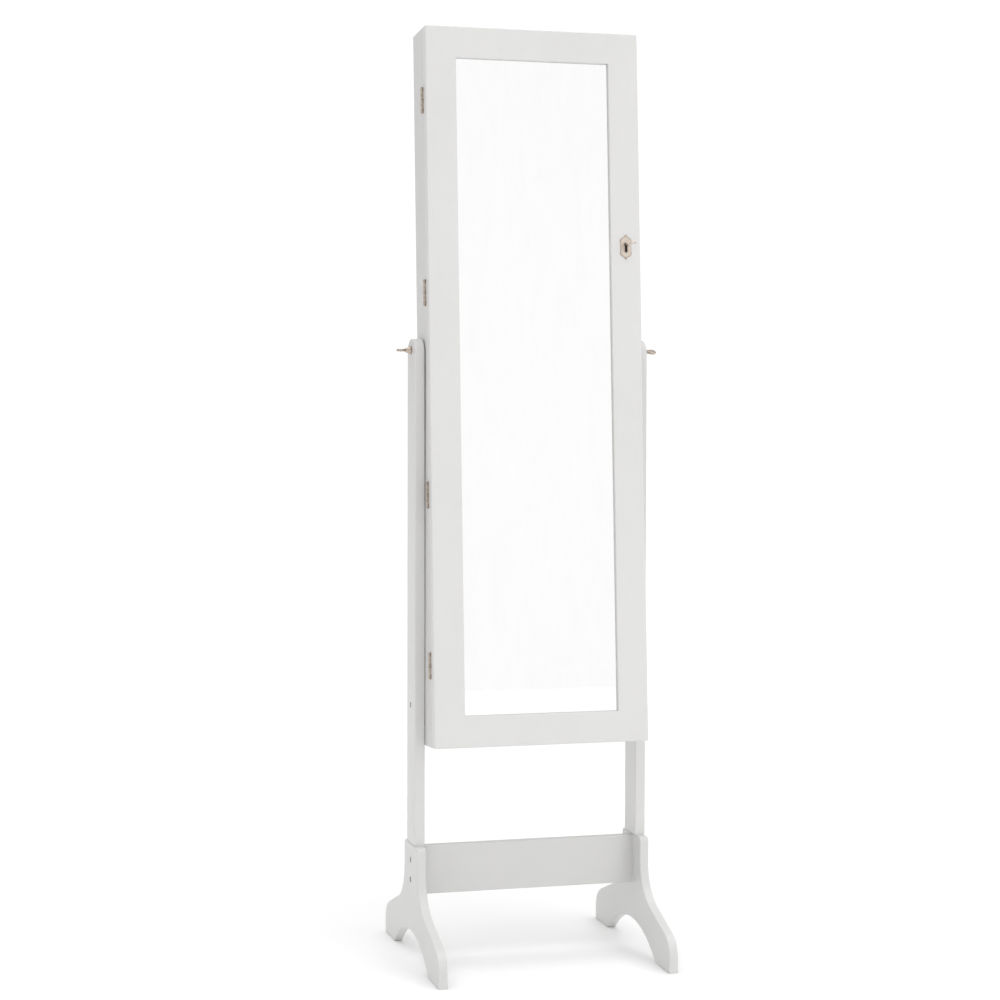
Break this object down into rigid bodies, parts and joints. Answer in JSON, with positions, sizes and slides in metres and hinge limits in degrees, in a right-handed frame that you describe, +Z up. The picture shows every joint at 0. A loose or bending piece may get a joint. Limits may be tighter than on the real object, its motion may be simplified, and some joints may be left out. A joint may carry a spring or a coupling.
{
  "type": "jewelry armoire",
  "caption": "Cheval jewelry armoire: a shallow lockable cabinet with a full-length mirrored door, tilting between two posts on arched feet.",
  "frame": {"origin": "on the floor, midway between the two feet and midway along their length", "axes": "+Z up; the mirror faces -Y; +X to the right of someone facing the mirror, so the door's hinges are on the -X side and its lock on the +X side"},
  "size_m": [0.4366, 0.38, 1.4963],
  "materials": {
    "white_lacquer": "satin white lacquer on board",
    "white_back": "matt white foil on thin board",
    "mirror": "silvered glass",
    "velvet": "soft charcoal velvet",
    "antique_nickel": "warm antique nickel, satin",
    "hinge_bronze": "antique bronze plate, satin",
    "polished_steel": "bright nickel plate",
    "zinc_steel": "zinc plate",
    "dark_steel": "dark oxide",
    "insert_brass": "plain brass",
    "nylon": "white nylon",
    "sleeve_rubber": "black rubber",
    "beech": "plain beech",
    "catch_plastic": "white plastic"
  },
  "bodies": {
    "stand": {"post_left": "white_lacquer", "post_right": "white_lacquer", "foot_left": "white_lacquer", "foot_right": "white_lacquer", "cross_rail": "white_lacquer", "rail_bolts": "dark_steel", "rail_barrel_nuts": "zinc_steel", "post_dowels": "beech", "pivot_bushes": "nylon", "stop_bolts": "dark_steel", "stop_sleeves": "sleeve_rubber"},
    "cabinet": {"side_left": "white_lacquer", "side_right": "white_lacquer", "top_panel": "white_lacquer", "bottom_panel": "white_lacquer", "back_panel": "white_back", "case_dowels": "beech", "pivot_nuts": "insert_brass", "lining_back": "velvet", "lining_left": "velvet", "lining_right": "velvet", "lining_top": "velvet", "lining_bottom": "velvet", "shelf_1": "velvet", "shelf_2": "velvet", "shelf_3": "velvet", "shelf_4": "velvet", "shelf_5": "velvet", "shelf_6": "velvet", "guard_bar_1": "polished_steel", "guard_bar_2": "polished_steel", "guard_bar_3": "polished_steel", "guard_bar_4": "polished_steel", "ring_cushion": "velvet", "earring_panel": "velvet", "hook_rail": "white_lacquer", "necklace_hooks": "polished_steel", "bracelet_rod": "polished_steel", "rod_sockets": "polished_steel", "case_hinge_leaves": "hinge_bronze", "case_hinge_screws": "hinge_bronze", "hinge_pins": "hinge_bronze", "strike_plate": "zinc_steel", "catch_magnet": "catch_plastic"},
    "door": {"door_stile_left": "white_lacquer", "door_stile_right": "white_lacquer", "door_rail_top": "white_lacquer", "door_rail_bottom": "white_lacquer", "door_dowels": "beech", "mirror_glass": "mirror", "door_panel": "velvet", "door_hinge_leaves": "hinge_bronze", "door_hinge_screws": "hinge_bronze", "lock_case": "zinc_steel", "escutcheon": "antique_nickel", "catch_plate": "zinc_steel"},
    "lock_bolt": {"lock_bolt": "zinc_steel"},
    "key": {"key": "antique_nickel"},
    "thumb_screw_left": {"thumb_screw_left": "antique_nickel"},
    "thumb_screw_right": {"thumb_screw_right": "antique_nickel"}
  },
  "joints": [
    {"name": "cabinet_tilt", "type": "hinge", "parent": "stand", "child": "cabinet", "pos_m": [0, 0, 0.981], "axis": [-1, 0, 0], "range_deg": [0, 15]},
    {"name": "door_swing", "type": "hinge", "parent": "cabinet", "child": "door", "pos_m": [-0.1797, -0.03343, 0.98316], "axis": [0, -0.0645, -0.9979], "range_deg": [0, 110]},
    {"name": "key_turn", "type": "hinge", "parent": "door", "child": "key", "pos_m": [0.152, -0.04897, 1.15352], "axis": [0, -0.9979, 0.0645], "range_deg": [0, 90]},
    {"name": "bolt_slide", "type": "slide", "parent": "door", "child": "lock_bolt", "axis": [1, 0, 0], "range_m": [0, 0.008]},
    {"name": "thumb_screw_left_turn", "type": "hinge", "parent": "cabinet", "child": "thumb_screw_left", "pos_m": [-0.2, 0, 0.981], "axis": [-1, 0, 0], "continuous": true},
    {"name": "thumb_screw_right_turn", "type": "hinge", "parent": "cabinet", "child": "thumb_screw_right", "pos_m": [0.2, 0, 0.981], "axis": [1, 0, 0], "continuous": true}
  ],
  "couplings": [
    {"joint": "bolt_slide", "follows": "key_turn", "m_per_rad": 0.0050929}
  ]
}
